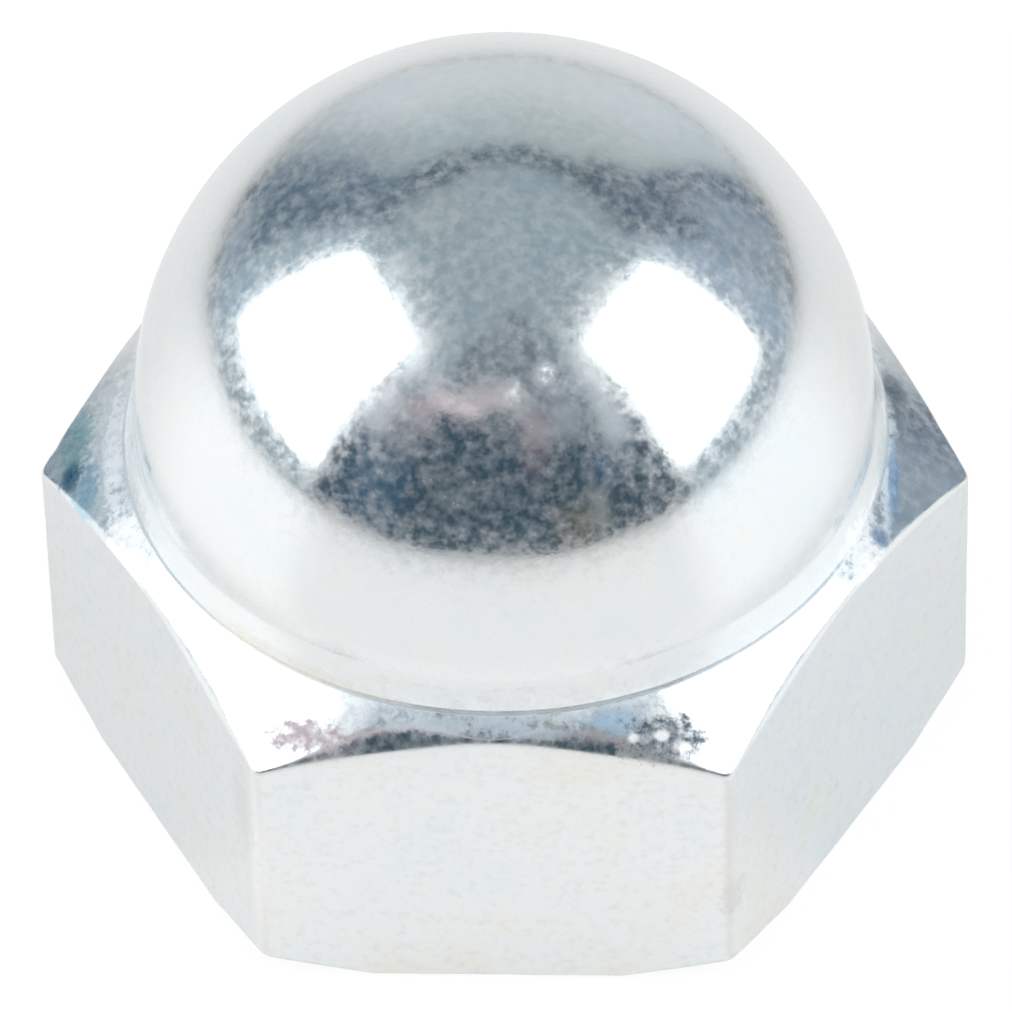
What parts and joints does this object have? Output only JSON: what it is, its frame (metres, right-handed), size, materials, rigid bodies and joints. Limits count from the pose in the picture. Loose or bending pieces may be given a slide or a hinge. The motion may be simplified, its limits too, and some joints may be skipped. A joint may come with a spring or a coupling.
{
  "type": "cap nut",
  "caption": "Hexagon cap nut with a round dome that closes the blind threaded bore; bright zinc-plated steel.",
  "frame": {"origin": "centre of the bearing face, where the thread's axis meets it", "axes": "+Z along the thread's axis and out of the dome; +Y and -Y square to two of the six flats; +X and -X out of two corners"},
  "size_m": [0.015, 0.013, 0.0125],
  "materials": {
    "zinc_plated_steel": "bright blue-white zinc plate, smooth on the dome, slightly satin on the flats"
  },
  "bodies": {
    "root": {"cap_nut": "zinc_plated_steel"}
  },
  "joints": []
}
